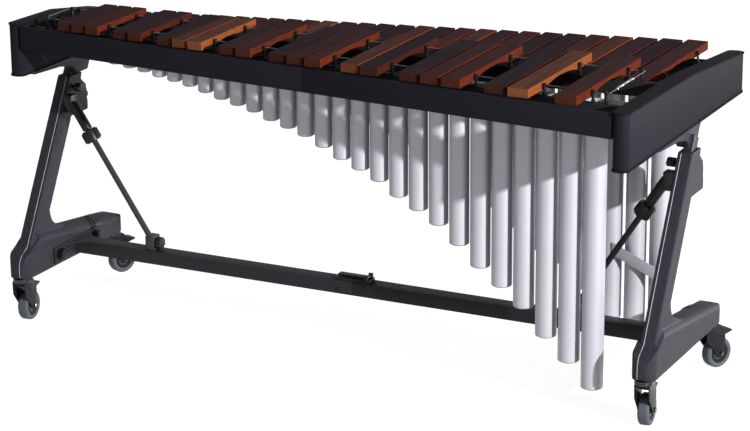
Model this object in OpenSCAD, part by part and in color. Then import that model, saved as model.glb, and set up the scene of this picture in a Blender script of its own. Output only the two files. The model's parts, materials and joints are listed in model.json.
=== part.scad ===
// Concert marimba, 4 1/3 octaves, on a height-adjustable folding frame.
// Millimetres. +X is the low end, +Y is the player's side, +Z is up.
// The origin is the middle of the footprint, on the floor.

/* [Desk] */
// Distance between the outer faces of the two end pieces
desk_length = 1840; // [1800:10:1860]
// Front to rear at the low end
low_width = 842; // [820:2:860]
// Front to rear at the high end
high_width = 412; // [400:2:430]
// How far the front edge steps back towards the high end
front_taper = 168; // [150:2:180]
// Thickness of an end piece
end_t = 42; // [38:1:46]
// Height of the top of the end pieces at the front
desk_top = 848; // [846:1:850]
// Height of the underside of the end pieces
desk_bottom = 703; // [698:1:706]

/* [Bars] */
// Pitch of the bars at the low end
pitch_low = 65.8; // [65:0.1:66.5]
// How much the pitch shrinks from one bar to the next at the low end
pitch_step = 1.16; // [1.14:0.01:1.18]
// Width of the lowest bar
bar_w_low = 57; // [54:1:58]
// Thickness of a bar at its ends
bar_t = 22; // [20:1:23]
// Height of the underside of the accidental bars
acc_z = 846; // [845:1:849]
// Height of the underside of the natural bars
nat_z = 800; // [798:1:802]
// Diameter of the suspension cord
cord_d = 3; // [2.5:0.5:3.5]

/* [Resonators] */
// Height of the open tops of the front tubes
tube_top = 806; // [800:1:808]
// Wall thickness of a tube
tube_wall = 1.5; // [1:0.5:2]
// Share of the pitch that a tube's diameter takes
tube_share = 0.87; // [0.84:0.01:0.88]

/* [Frame] */
// Distance between the middle planes of the two leg castings
leg_spacing = 1826; // [1822:2:1828]
// Width of a leg across the frame
leg_w = 40; // [38:1:42]
// Depth of a leg, square to its length
leg_d = 56; // [54:1:58]
// Lean of the legs towards the player, in degrees
lean = 28.4; // [28:0.1:29]
// Width of a foot
foot_w = 64; // [62:1:66]
// Length of a foot
foot_l = 512; // [510:2:516]
// Height of the underside of a foot
foot_z = 131; // [130:1:132]

/* [Casters] */
// Diameter of a wheel
wheel_d = 82; // [80:1:84]
// Width of a tyre
wheel_w = 30; // [28:1:31]
// How far a wheel trails behind its swivel
trail = 34; // [32:1:36]
// Distance between the front and rear swivels
swivel_spacing = 464; // [460:2:466]
// How far the low rear caster is turned at rest, in degrees
low_rear_turn = 28; // [20:1:30]
// How far the high rear caster is turned at rest, in degrees
high_rear_turn = 23; // [15:1:28]
// How far the two front casters are turned at rest, in degrees
front_turn = -5; // [-10:1:5]

/* [Hidden] */

half = desk_length / 2;
front_low = -low_width / 2;
front_high = front_low + front_taper;
rear_low = low_width / 2;
rear_high = front_high + high_width;
inner = half - end_t;
slot_count = 30;
slot_start = 784.6;
pitch_curl = 0.03;
bar_gap = 1.4;
round_fn = 48;
fine_fn = 32;
node_share = 0.224;
arch_depth_low = 11;
arch_depth_high = 6;
arch_inset = 6;
arch_fn = 96;
speed_of_sound = 345000;
a4_hz = 440;
a4_note = 69;
end_correction = 16;
lowest_note = 45;
octave_steps = [0, 2, 3, 5, 7, 8, 10];
shortest_clearance = 100;

function lerp(a, b, t) = a + (b - a) * t;
function share(x) = (x + half) / desk_length;
function front_y(x) = lerp(front_high, front_low, share(x));
function rear_y(x) = lerp(rear_high, rear_low, share(x));
function slot_x(s) =
  slot_start - pitch_low * s + pitch_step * s * s / 2 - pitch_curl * s * s * s / 6;
function slot_pitch(s) = pitch_low - pitch_step * s + pitch_curl * s * s / 2;
function bar_w(s) = bar_w_low * slot_pitch(s) / pitch_low - bar_gap;

// A natural's semitone number counts up from the lowest bar through the white notes
function natural_note(j) = lowest_note + 12 * floor(j / 7) + octave_steps[j % 7];
function tube_note(s) = (natural_note(floor(s)) + natural_note(ceil(s))) / 2;
function note_hz(n) = a4_hz * pow(2, (n - a4_note) / 12);
function quarter_wave(n) = speed_of_sound / (4 * note_hz(n)) - end_correction;
// A slot between two naturals has an accidental unless they are only one semitone apart
function has_accidental(k) = natural_note(k) - natural_note(k - 1) == 2;

// Ends of the bars, front and rear, along each row
acc_front_gap = 13;
acc_rear_high = -26;
acc_rear_low = 34;
nat_front_high = -60;
nat_front_low = -7;
nat_rear_high = 75;
nat_rear_low = 465;
function acc_front(x) = front_y(x) + acc_front_gap;
function acc_rear(x) = lerp(acc_rear_high, acc_rear_low, share(x));
function nat_front(x) = lerp(nat_front_high, nat_front_low, share(x));
function nat_rear(x) = lerp(nat_rear_high, nat_rear_low, share(x));
function row_front(x, acc) = acc ? acc_front(x) : nat_front(x);
function row_rear(x, acc) = acc ? acc_rear(x) : nat_rear(x);
function node_y(x, acc, rear) =
  lerp(row_front(x, acc), row_rear(x, acc), rear ? 1 - node_share : node_share);
function row_z(acc) = acc ? acc_z : nat_z;
function tube_y(x, acc) =
  (row_front(x, acc) + row_rear(x, acc)) / 2 - (acc ? front_bank_shift : rear_bank_shift * share(x));
function slot_of(k, acc) = acc ? k - 0.5 : k;
function tube_d(s) = slot_pitch(s) * tube_share;
function tube_head(acc) = acc ? tube_top : tube_top - rear_bank_drop;
function tube_foot(k, acc) =
  max(shortest_clearance - (acc ? front_bank_reach : 0),
      tube_head(acc) - mouth_gap - quarter_wave(acc ? tube_note(k - 0.5) : natural_note(k)));

front_bank_shift = 10;
rear_bank_shift = 25;
rear_bank_drop = 24;
front_bank_reach = 34;
mouth_gap = 16;
cord_drop = 9;
cord_hole_d = 7;
cord_past_high = 32;
cord_past_low = 42;
rail_w = 18;
rail_h = 34;
rail_drop = 14;
post_t = 3.4;
post_w = 12;
post_rise = 5;
post_eye_play = 1.4;
end_post_low = 34;
end_post_high = 24;

module bar_blank(s, acc) {
  x = slot_x(s);
  w = bar_w(s);
  y0 = row_front(x, acc);
  y1 = row_rear(x, acc);
  z = row_z(acc);
  arch_depth = lerp(arch_depth_low, arch_depth_high, s / slot_count);
  arch_half = (y1 - y0) * (0.5 - node_share) - arch_inset;
  arch_r = (arch_half * arch_half + arch_depth * arch_depth) / (2 * arch_depth);
  translate([x, 0, 0])
    difference() {
      translate([-w / 2, y0, z]) cube([w, y1 - y0, bar_t]);
      translate([0, (y0 + y1) / 2, z + arch_depth - arch_r])
        rotate([0, 90, 0]) cylinder(r = arch_r, h = w + 2, center = true, $fn = arch_fn);
    }
}

// A straight round run along one nodal line, from one cord end to the other
module cord_line(acc, rear, d) {
  x0 = slot_x(slot_count) - cord_past_high;
  x1 = slot_x(0) + cord_past_low;
  y0 = node_y(x0, acc, rear);
  y1 = node_y(x1, acc, rear);
  translate([x0, y0, row_z(acc) + bar_t - cord_drop])
    rotate([0, 0, atan2(y1 - y0, x1 - x0)]) rotate([0, 90, 0])
      cylinder(d = d, h = norm([x1 - x0, y1 - y0]), $fn = fine_fn);
}

module drilled_bar(s, acc) {
  difference() {
    bar_blank(s, acc);
    cord_line(acc, false, cord_hole_d);
    cord_line(acc, true, cord_hole_d);
  }
}

module natural_bars() {
  color([0.32, 0.12, 0.09])
    for (j = [0 : slot_count]) drilled_bar(j, false);
}

module accidental_bars() {
  color([0.32, 0.12, 0.09])
    for (k = [1 : slot_count]) if (has_accidental(k)) drilled_bar(k - 0.5, true);
}

// A run of cord square across the frame, from one nodal line to the other
module cross_run(x, acc) {
  y0 = node_y(x, acc, false) - cord_d / 2;
  translate([x, y0, row_z(acc) + bar_t - cord_drop])
    rotate([-90, 0, 0])
      cylinder(d = cord_d, h = node_y(x, acc, true) + cord_d / 2 - y0, $fn = fine_fn);
}

// One row's cord: two straight runs and one run across the high end
module row_cord(acc) {
  cord_line(acc, false, cord_d);
  cord_line(acc, true, cord_d);
  cross_run(slot_x(slot_count) - cord_past_high, acc);
}

module accidental_cord() {
  color([0.1, 0.1, 0.1]) {
    row_cord(true);
    cross_run(slot_x(0) + cord_past_low, true);
  }
}
module natural_cord() { color([0.1, 0.1, 0.1]) row_cord(false); }

function rail_top(acc) = row_z(acc) - rail_drop;

// A skewed board in plan, between two x positions, following a front and a rear line
module plan_board(x0, x1, f0, f1, t, z0, z1) {
  translate([0, 0, z0])
    linear_extrude(z1 - z0)
      polygon([[x0, f0], [x1, f1], [x1, f1 + t], [x0, f0 + t]]);
}

module bar_rails() {
  color([0.11, 0.11, 0.12])
    for (acc = [true, false], rear = [false, true])
      plan_board(-inner, inner, node_y(-inner, acc, rear) - rail_w / 2,
                 node_y(inner, acc, rear) - rail_w / 2, rail_w,
                 rail_top(acc) - rail_h, rail_top(acc));
}

// A flat post with a round eye that the cord passes through
module cord_post(x, acc, rear) {
  z0 = rail_top(acc);
  z1 = row_z(acc) + bar_t - cord_drop;
  translate([x, node_y(x, acc, rear), 0]) {
    difference() {
      translate([-post_t / 2, -post_w / 2, z0]) cube([post_t, post_w, z1 - z0 + post_rise]);
      translate([0, 0, z1]) rotate([0, 90, 0])
        cylinder(d = cord_d + post_eye_play, h = post_t + 2, center = true, $fn = fine_fn);
    }
  }
}

module cord_posts() {
  color([0.06, 0.06, 0.06])
    for (rear = [false, true]) {
      for (i = [0 : slot_count]) cord_post(slot_x(i), true, rear);
      for (i = [0 : slot_count - 1]) cord_post(slot_x(i + 0.5), false, rear);
      for (acc = [false, true]) {
        cord_post(slot_x(0) + end_post_low, acc, rear);
        cord_post(slot_x(slot_count) - end_post_high, acc, rear);
      }
    }
}

board_t = 12;
front_board_z = 780;
front_board_top = 842;
rear_board_z = 726;
rear_board_top = 782;
board_step = 3;
seam_x = 16;
seam_half_gap = 0.4;

module front_board(x0, x1) {
  plan_board(x0, x1, front_y(x0) + board_step, front_y(x1) + board_step, board_t,
             front_board_z, front_board_top);
}

module front_board_low() { color([0.13, 0.13, 0.14]) front_board(seam_x + seam_half_gap, inner); }
module front_board_high() { color([0.13, 0.13, 0.14]) front_board(-inner, seam_x - seam_half_gap); }

module rear_board() {
  color([0.13, 0.13, 0.14])
    plan_board(-inner, inner, rear_y(-inner) - board_step - board_t,
               rear_y(inner) - board_step - board_t, board_t, rear_board_z, rear_board_top);
}

// ---- End pieces ----
kink_share = 0.52;
kink_drop = 6;
rear_drop = 38;
trim_t = 5;
lip = 2.5;
end_round = 19;
plan_over = 10;
trim_side_share = 3;

module end_plan(y0, y1, grow) {
  r = end_round + grow;
  w = end_t + 2 * grow;
  translate([-w / 2, y0 - grow + r]) square([w, y1 - y0 + 2 * grow - 2 * r]);
  translate([-w / 2 + r, y0 - grow]) square([w - 2 * r, y1 - y0 + 2 * grow]);
  for (x = [-w / 2 + r, w / 2 - r], y = [y0 - grow + r, y1 + grow - r])
    translate([x, y]) circle(r = r, $fn = round_fn);
}

// Height of the bent top line of an end piece at y, with its three straight marks
function end_top(y, y0, y1) =
  y < lerp(y0, y1, kink_share)
    ? desk_top - kink_drop * (y - y0) / ((y1 - y0) * kink_share)
    : lerp(desk_top - kink_drop, desk_top - rear_drop,
           (y - lerp(y0, y1, kink_share)) / ((y1 - y0) * (1 - kink_share)));

// Side outline of an end piece from low_z up to the bent top line
module end_side(y0, y1, low_z, shift, over) {
  yk = lerp(y0, y1, kink_share);
  translate([-over - end_t, 0, 0])
    rotate([90, 0, 90])
      linear_extrude(2 * (over + end_t))
        polygon([[y0 - over, low_z], [y1 + over, low_z],
                 [y1 + over, end_top(y1 + over, y0, y1) + shift],
                 [yk, end_top(yk, y0, y1) + shift],
                 [y0 - over, end_top(y0 - over, y0, y1) + shift]]);
}

module end_shell(y0, y1) {
  intersection() {
    translate([0, 0, desk_bottom + trim_t])
      linear_extrude(desk_top) end_plan(y0, y1, 0);
    end_side(y0, y1, desk_bottom, -trim_t, plan_over);
  }
}

module end_trim(y0, y1) {
  difference() {
    intersection() {
      translate([0, 0, desk_bottom]) linear_extrude(desk_top) end_plan(y0, y1, lip);
      end_side(y0, y1, desk_bottom + trim_side_share * trim_t, 0, plan_over);
    }
    end_side(y0, y1, desk_bottom, -trim_t, 2 * plan_over);
  }
  translate([0, 0, desk_bottom]) linear_extrude(trim_t) end_plan(y0, y1, lip);
}

end_color = [0.17, 0.17, 0.19];
trim_color = [0.08, 0.08, 0.09];
end_x = half - end_t / 2;

module low_end_shell() {
  color(end_color) translate([end_x, 0, 0]) end_shell(front_low, rear_low);
}
module high_end_shell() {
  color(end_color) translate([-end_x, 0, 0]) end_shell(front_high, rear_high);
}
module low_end_trim() {
  color(trim_color) translate([end_x, 0, 0]) end_trim(front_low, rear_low);
}
module high_end_trim() {
  color(trim_color) translate([-end_x, 0, 0]) end_trim(front_high, rear_high);
}

// ---- Resonators ----
cap_t = 4;
cap_dome = 2;
cap_play = 0.2;
cap_plug = 8;
strip_h = 24;
strip_t = 2;
strip_drop = 3;
strip_gap = 4;

module tube(k, acc) {
  s = slot_of(k, acc);
  x = slot_x(s);
  z0 = tube_foot(k, acc);
  translate([x, tube_y(x, acc), z0])
    difference() {
      cylinder(d = tube_d(s), h = tube_head(acc) - z0, $fn = round_fn);
      translate([0, 0, -1])
        cylinder(d = tube_d(s) - 2 * tube_wall, h = tube_head(acc) - z0 + 2, $fn = round_fn);
    }
}

module tube_cap(k, acc) {
  s = slot_of(k, acc);
  x = slot_x(s);
  r = tube_d(s) / 2;
  plug_r = r - tube_wall - cap_play;
  translate([x, tube_y(x, acc), tube_foot(k, acc)])
    rotate_extrude($fn = round_fn)
      polygon([[0, -cap_t - cap_dome], [r * 0.6, -cap_t - cap_dome / 2], [r - 1.5, -cap_t + 1.5],
               [r, -cap_play], [r, 0], [plug_r, 0], [plug_r, cap_plug], [0, cap_plug]]);
}

function first_slot(acc) = acc ? 1 : 0;

module front_resonators() {
  color([0.78, 0.79, 0.82]) for (k = [first_slot(true) : slot_count]) tube(k, true);
}
module rear_resonators() {
  color([0.78, 0.79, 0.82]) for (k = [first_slot(false) : slot_count]) tube(k, false);
}
module resonator_caps() {
  color([0.7, 0.71, 0.74])
    for (acc = [true, false], k = [first_slot(acc) : slot_count]) tube_cap(k, acc);
}

// Two flat strips hold each bank between them and end on the end pieces
function strip_y(x, acc, side) =
  tube_y(x, acc) + side * (slot_pitch(share(-x) * slot_count) * tube_share / 2 + strip_gap);

module resonator_rails() {
  color([0.72, 0.73, 0.75])
    for (acc = [true, false], side = [-1, 1])
      plan_board(-inner, inner,
                 strip_y(-inner, acc, side) - (side < 0 ? strip_t : 0),
                 strip_y(inner, acc, side) - (side < 0 ? strip_t : 0), strip_t,
                 tube_head(acc) - strip_drop - strip_h, tube_head(acc) - strip_drop);
}

// A flat bar screwed across the front of the lowest rear tubes
stay_x0 = 668;
stay_x1 = 806;
stay_z0 = 300;
stay_z1 = 240;
stay_h = 34;
module resonator_stay() {
  y = min(tube_y(stay_x0, false), tube_y(stay_x1, false)) - tube_d(0) / 2 - 1;
  color([0.75, 0.76, 0.78])
    translate([0, y, 0])
      rotate([90, 0, 0])
        linear_extrude(strip_t)
          polygon([[stay_x0, stay_z0], [stay_x1, stay_z1], [stay_x1, stay_z1 + stay_h],
                   [stay_x0, stay_z0 + stay_h]]);
}

// ---- Legs and feet ----
mid = leg_spacing / 2;
lean_run = tan(lean);
leg_y0 = -316;
foot_y = -20;
leg_top_z = 645;
sleeve_bottom_z = 270;
post_x = 24;
post_d = 36;
slide_gap = 0.2;
seam_gap = 0.3;
seam_shift = 10;
foot_front = foot_y - foot_l / 2;
foot_rear = foot_y + foot_l / 2;
swivel_y = swivel_spacing / 2;
stem_d = 12;
stem_h = 34;
fit = 0.05;
knob_shaft_d = 8;
// Highest line of the foot, where it leaves the leg, and the round section that it crowns
crest_r = 33;
crest_start = [-53, 231];
crest_fall = 7.5;
crest_fn = 96;
nose_r = 44;
nose_z = foot_z + 32;
nose_top_z = foot_z + 80;
nose_plan_r = 28;
web_top_z = 292;
// The block behind the head of the leg that holds the clamp knob
block_y = 89;
block_z = 530;
block_top_z = 626;
past_all = 1000;

function leg_mid_y(z) = leg_y0 + lean_run * z;
// Half depth of the leg measured level
leg_reach = leg_d / cos(lean) / 2;

function arc_points(cx, cy, r, a0, a1, n) =
  [for (i = [0 : n]) [cx + r * cos(lerp(a0, a1, i / n)), cy + r * sin(lerp(a0, a1, i / n))]];

// Side outline of the leaning leg alone, with its clamp block and the web behind its root
module leg_outline() {
  front = function(z) leg_mid_y(z) - leg_reach;
  back = function(z) leg_mid_y(z) + leg_reach;
  root_z = foot_z + 30;
  web = [crest_start + [0, -3], crest_start + [-36, 11], crest_start + [-53, 19],
         crest_start + [-63, 29], crest_start + [-69, 41], [back(web_top_z), web_top_z]];
  polygon(concat(
    [[front(root_z), root_z], [foot_y + 60, root_z], [foot_y + 10, foot_z + 86]],
    web,
    [[back(block_z - 10), block_z - 10], [back(block_z + 2) - 2, block_z]],
    [[block_y - 4, block_z], [block_y, block_z + 6], [block_y - 6, block_top_z - 22]],
    [[block_y - 31, block_top_z]],
    [[back(leg_top_z), leg_top_z], [front(leg_top_z), leg_top_z]]));
}

// Side outline of the foot alone, from its round nose to its square heel
module foot_outline() {
  heel = [[foot_rear - 10, foot_z], [foot_rear, foot_z + 8], [foot_rear, foot_z + 40],
          [foot_rear - 6, foot_z + 49], [foot_rear - 40, foot_z + 62]];
  back_line = [[118, foot_z + 78], [43, foot_z + 88], [crest_start[0], foot_z + 99],
               [crest_start[0] - 57, foot_z + 106], [leg_mid_y(240), foot_z + 110]];
  polygon(concat(
    [[foot_front + 6, foot_z]],
    heel,
    back_line,
    [[leg_mid_y(nose_top_z) - leg_reach, nose_top_z]],
    arc_points(foot_front + nose_r, nose_z, nose_r, 118, 180, 8),
    [[foot_front, foot_z + 8]]
  ));
}

// Round-topped bar whose crest falls gently towards the heel
module foot_section() {
  translate([0, crest_start[0], crest_start[1]])
    rotate([-crest_fall, 0, 0]) translate([0, 0, -crest_r]) {
      rotate([90, 0, 0]) cylinder(r = crest_r, h = past_all, center = true, $fn = crest_fn);
      translate([-crest_r, -past_all / 2, -foot_z * 2]) cube([2 * crest_r, past_all, foot_z * 2]);
    }
}

module foot_plan() {
  r = nose_plan_r;
  w = foot_w;
  translate([-w / 2, foot_front + r]) square([w, foot_l - 2 * r]);
  translate([-w / 2 + r, foot_front]) square([w - 2 * r, foot_l]);
  for (x = [-w / 2 + r, w / 2 - r], y = [foot_front + r, foot_rear - r])
    translate([x, y]) circle(r = r, $fn = round_fn);
}

module along_leg(z) {
  translate([0, leg_mid_y(z), z]) rotate([-lean, 0, 0]) children();
}

module leg_casting() {
  difference() {
    union() {
      rotate([90, 0, 90])
        translate([0, 0, -leg_w / 2]) linear_extrude(leg_w) leg_outline();
      intersection() {
        rotate([90, 0, 90]) translate([0, 0, -foot_w / 2]) linear_extrude(foot_w) foot_outline();
        translate([0, 0, foot_z - 1]) linear_extrude(foot_z) foot_plan();
        foot_section();
      }
    }
    along_leg(sleeve_bottom_z)
      translate([-post_x / 2 - slide_gap, -post_d / 2 - slide_gap, 0])
        cube([post_x + 2 * slide_gap, post_d + 2 * slide_gap, leg_top_z]);
    foot_cavity();
    for (side = [-1, 1])
      translate([0, foot_y + side * swivel_y, foot_z - 1])
        cylinder(d = stem_d + 2 * fit, h = stem_h + 3, $fn = fine_fn);
  }
}

// The casting is hollow between its two swivel bosses
module foot_cavity() {
  wall = 5;
  rotate([90, 0, 90])
    translate([0, 0, -foot_w / 2 + wall])
      linear_extrude(foot_w - 2 * wall)
        polygon([[foot_y - swivel_y + 20, foot_z + wall], [foot_y + swivel_y - 20, foot_z + wall],
                 [foot_y + swivel_y - 20, foot_z + 40], [foot_y + 50, foot_z + 60],
                 [foot_y - 70, foot_z + 72], [foot_y - swivel_y + 20, foot_z + 56]]);
}

beam_knob_y = [-112, 72];
beam_z0 = 145;
beam_h = 37;
beam_y0 = -36;
beam_w = 46;
beam_knob_z = beam_z0 + 18;
beam_bolt_d = 10;
height_knob_z = 612;
clamp_knob_z = [548, 570];

// Bores through the inner half for the height knob and the two beam knobs
module inner_bores() {
  translate([-foot_w, leg_mid_y(height_knob_z), height_knob_z])
    rotate([0, 90, 0]) cylinder(d = knob_shaft_d + 2 * fit, h = foot_w, $fn = fine_fn);
  for (y = beam_knob_y)
    translate([-foot_w, y, beam_knob_z])
      rotate([0, 90, 0])
        cylinder(d = beam_bolt_d + 2 * fit, h = foot_w / 2 + 12, $fn = fine_fn);
}

module clamp_bore(z) {
  translate([0, 40, z])
    rotate([-90, 0, 0]) cylinder(d = knob_shaft_d + 2 * fit, h = 80, $fn = fine_fn);
}

module leg_half(outer, clamp_z) {
  difference() {
    leg_casting();
    inner_bores();
    clamp_bore(clamp_z);
    translate([(outer ? seam_gap / 2 - past_all : -seam_gap / 2) - seam_shift, -past_all / 2, 0])
      cube(past_all);
  }
}

leg_color = [0.2, 0.2, 0.22];
// side is 1 at the low end and -1 at the high end; mirrored so that inner faces the middle
module at_end(side) {
  translate([side * mid, 0, 0]) mirror([side < 0 ? 1 : 0, 0, 0]) children();
}

module low_leg_outer_shell() { color(leg_color) at_end(1) leg_half(true, clamp_knob_z[0]); }
module low_leg_inner_shell() { color(leg_color) at_end(1) leg_half(false, clamp_knob_z[0]); }
module high_leg_outer_shell() { color(leg_color) at_end(-1) leg_half(true, clamp_knob_z[1]); }
module high_leg_inner_shell() { color(leg_color) at_end(-1) leg_half(false, clamp_knob_z[1]); }

// ---- Inner posts with their flared brackets ----
post_bottom_z = 300;

module post(side) {
  bracket_t = end_t - 8;
  color([0.15, 0.15, 0.16])
    at_end(side) {
      along_leg(post_bottom_z)
        translate([-post_x / 2, -post_d / 2, 0])
          cube([post_x, post_d, (desk_bottom - 26 - post_bottom_z) / cos(lean)]);
      translate([(end_x - mid) - bracket_t / 2, 0, 0])
        rotate([90, 0, 90])
          linear_extrude(bracket_t)
            polygon([[-196, desk_bottom], [-186, desk_bottom - 9], [-60, desk_bottom - 16],
                     [0, desk_bottom - 28], [22, leg_top_z + 6], [76, leg_top_z + 6],
                     [96, desk_bottom - 14], [112, desk_bottom]]);
    }
}
module low_post() post(1);
module high_post() post(-1);

// ---- Beam ----
beam_end = mid - foot_w / 2;
plate_t = 5;
plate_past_knob = 26;
plate_past_beam = 4;
beam_wall = 3;
sleeve_l = 160;
gusset_r = 56;

module box_tube(x0, x1) {
  difference() {
    translate([x0, beam_y0, beam_z0]) cube([x1 - x0, beam_w, beam_h]);
    translate([x0 - 1, beam_y0 + beam_wall, beam_z0 + beam_wall])
      cube([x1 - x0 + 2, beam_w - 2 * beam_wall, beam_h - 2 * beam_wall]);
  }
}

module beam_half() {
  difference() {
    union() {
      box_tube(0.3, beam_end - plate_t);
      translate([beam_end - plate_t, beam_knob_y[0] - plate_past_knob, beam_z0 - plate_past_beam])
        cube([plate_t, beam_knob_y[1] - beam_knob_y[0] + 2 * plate_past_knob,
              beam_h + 2 * plate_past_beam]);
      translate([0, 0, beam_z0 + beam_h - plate_t]) linear_extrude(plate_t) gusset_plan();
    }
    for (y = beam_knob_y)
      translate([beam_end - 20, y, beam_knob_z])
        rotate([0, 90, 0]) cylinder(d = beam_bolt_d + 2 * fit, h = 40, $fn = fine_fn);
  }
}

// Web plate that widens from the beam to the end plate with two hollow curves
module gusset_plan() {
  r = gusset_r;
  x = beam_end - plate_t + 1;
  polygon(concat(
    [[x, beam_y0 - r]],
    arc_points(x - r, beam_y0 - r, r, 0, 90, 8),
    [[x - r, beam_y0 + beam_w]],
    arc_points(x - r, beam_y0 + beam_w + r, r, -90, 0, 8)));
}

beam_color = [0.12, 0.12, 0.13];
module beam_low_half() { color(beam_color) beam_half(); }
module beam_high_half() { color(beam_color) mirror([1, 0, 0]) beam_half(); }

hump_x0 = -54;
hump_x1 = 46;
hump_h = 8;
latch_pin_x = 36;
latch_pin_z = beam_z0 + beam_h + hump_h + 6;
latch_pin_d = 5;

module beam_coupling() {
  sleeve_gap = 0.3;
  w = beam_w - 2 * beam_wall - 2 * sleeve_gap;
  h = beam_h - 2 * beam_wall - 2 * sleeve_gap;
  top = beam_z0 + beam_h;
  color([0.1, 0.1, 0.11]) {
    translate([-sleeve_l / 2, beam_y0 + beam_wall + sleeve_gap, beam_z0 + beam_wall + sleeve_gap])
      cube([sleeve_l, w, h]);
    translate([hump_x0, beam_y0 + 3, top]) cube([hump_x1 - hump_x0, beam_w - 6, hump_h]);
    for (y = [beam_y0 + 4, beam_y0 + beam_w - 10])
      translate([latch_pin_x - 6, y, top + hump_h - 1]) cube([12, 6, 13]);
    translate([latch_pin_x, beam_y0 + 6, latch_pin_z])
      rotate([-90, 0, 0]) cylinder(d = latch_pin_d, h = beam_w - 12, $fn = fine_fn);
    for (x = [-40, 40]) translate([x, beam_y0 - 3, beam_z0 + 14])
      rotate([-90, 0, 0]) cylinder(d = 9, h = 3, $fn = fine_fn);
  }
}

module beam_latch() {
  color([0.1, 0.1, 0.1])
    difference() {
      union() {
        translate([hump_x0 + 4, beam_y0 + 13, latch_pin_z - 4.4])
          cube([latch_pin_x - hump_x0 - 4, beam_w - 26, 5.4]);
        translate([latch_pin_x, beam_y0 + 13, latch_pin_z])
          rotate([-90, 0, 0]) cylinder(d = 10, h = beam_w - 26, $fn = fine_fn);
      }
      translate([latch_pin_x, beam_y0, latch_pin_z])
        rotate([-90, 0, 0])
          cylinder(d = latch_pin_d + 2 * fit, h = beam_w, $fn = fine_fn);
    }
}

// ---- Knobs ----
// A round knob with finger hollows, standing on z = 0 with its shaft below
module lobed_knob(d, h, shaft_d, shaft_l, lobes) {
  difference() {
    cylinder(d = d, h = h, $fn = round_fn);
    for (i = [0 : lobes - 1])
      rotate([0, 0, i * 360 / lobes]) translate([d * 0.6, 0, -1])
        cylinder(d = d * 0.34, h = h + 2, $fn = fine_fn);
  }
  translate([0, 0, -shaft_l]) cylinder(d = shaft_d, h = shaft_l + 1, $fn = fine_fn);
}

knob_color = [0.05, 0.05, 0.05];
big_knob_d = 34;
big_knob_h = 18;
knob_gap = 0.4;
height_stand = 10;
clamp_knob_y = 92;

module beam_knob(side, y) {
  color(knob_color)
    translate([side * (beam_end - plate_t - knob_gap), y, beam_knob_z])
      rotate([0, -side * 90, 0]) lobed_knob(big_knob_d, big_knob_h, beam_bolt_d, 20, 6);
}
module low_beam_knob_front() beam_knob(1, beam_knob_y[0]);
module low_beam_knob_rear() beam_knob(1, beam_knob_y[1]);
module high_beam_knob_front() beam_knob(-1, beam_knob_y[0]);
module high_beam_knob_rear() beam_knob(-1, beam_knob_y[1]);

module height_knob(side) {
  wall = leg_w / 2 - post_x / 2;
  color(knob_color)
    translate([side * (mid - leg_w / 2), leg_mid_y(height_knob_z), height_knob_z])
      rotate([0, -side * 90, 0])
        translate([0, 0, height_stand]) {
          lobed_knob(24, 20, knob_shaft_d, height_stand + wall - 0.6, 3);
          translate([0, 0, height_stand]) cube([10, 34, 18], center = true);
        }
}
module low_height_knob() height_knob(1);
module high_height_knob() height_knob(-1);

module clamp_knob(side, z) {
  color(knob_color)
    translate([side * mid, clamp_knob_y, z])
      rotate([-90, 0, 0]) lobed_knob(20, 14, knob_shaft_d, 44, 5);
}
module low_clamp_knob() clamp_knob(1, clamp_knob_z[0]);
module high_clamp_knob() clamp_knob(-1, clamp_knob_z[1]);

// ---- Braces ----
brace_top = [873, -21, 575];
brace_foot = [634, -13, 204];
brace_tube_d = 28;
brace_rod_d = 16;
brace_tube_l = 84;
collar_start = 86;
collar_l = 34;
collar_d = 42;
brace_len = norm(brace_foot - brace_top);
brace_tilt = acos((brace_foot[2] - brace_top[2]) / brace_len);
brace_turn = atan2(brace_foot[1] - brace_top[1], brace_foot[0] - brace_top[0]);

// Places children on the brace's axis, z running down from the leg to the beam
module on_brace(side) {
  mirror([side < 0 ? 1 : 0, 0, 0])
    translate(brace_top) rotate([0, brace_tilt, brace_turn]) children();
}

module brace_tube(side) {
  color([0.08, 0.08, 0.08]) {
    on_brace(side)
      difference() {
        cylinder(d = brace_tube_d, h = brace_tube_l, $fn = round_fn);
        translate([0, 0, 20]) cylinder(d = brace_rod_d + 2 * fit, h = brace_tube_l, $fn = round_fn);
      }
    mirror([side < 0 ? 1 : 0, 0, 0])
      translate([brace_top[0] - 4, brace_top[1] - 15, brace_top[2] - 24])
        cube([mid - leg_w / 2 - brace_top[0] + 4, 30, 48]);
  }
}
module low_brace_tube() brace_tube(1);
module high_brace_tube() brace_tube(-1);

clamp_w = 26;
clamp_h = 40;
clamp_l = 36;
brace_bolt_z = beam_z0 + beam_h + clamp_h / 2;
module brace_rod(side) {
  color([0.2, 0.2, 0.21]) {
    on_brace(side)
      translate([0, 0, 40]) cylinder(d = brace_rod_d, h = brace_len - 50, $fn = round_fn);
    difference() {
      mirror([side < 0 ? 1 : 0, 0, 0])
        translate([brace_foot[0] - clamp_w / 2, brace_foot[1] - clamp_l / 2, beam_z0 + beam_h])
          cube([clamp_w, clamp_l, clamp_h]);
      brace_bolt(side, knob_shaft_d + 2 * fit, 0);
    }
  }
}
module brace_bolt(side, d, short) {
  mirror([side < 0 ? 1 : 0, 0, 0])
    translate([brace_foot[0] - clamp_w / 2 - 1, brace_foot[1], brace_bolt_z])
      rotate([0, 90, 0]) cylinder(d = d, h = clamp_w / 2 - short, $fn = fine_fn);
}
module low_brace_rod() brace_rod(1);
module high_brace_rod() brace_rod(-1);

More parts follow.
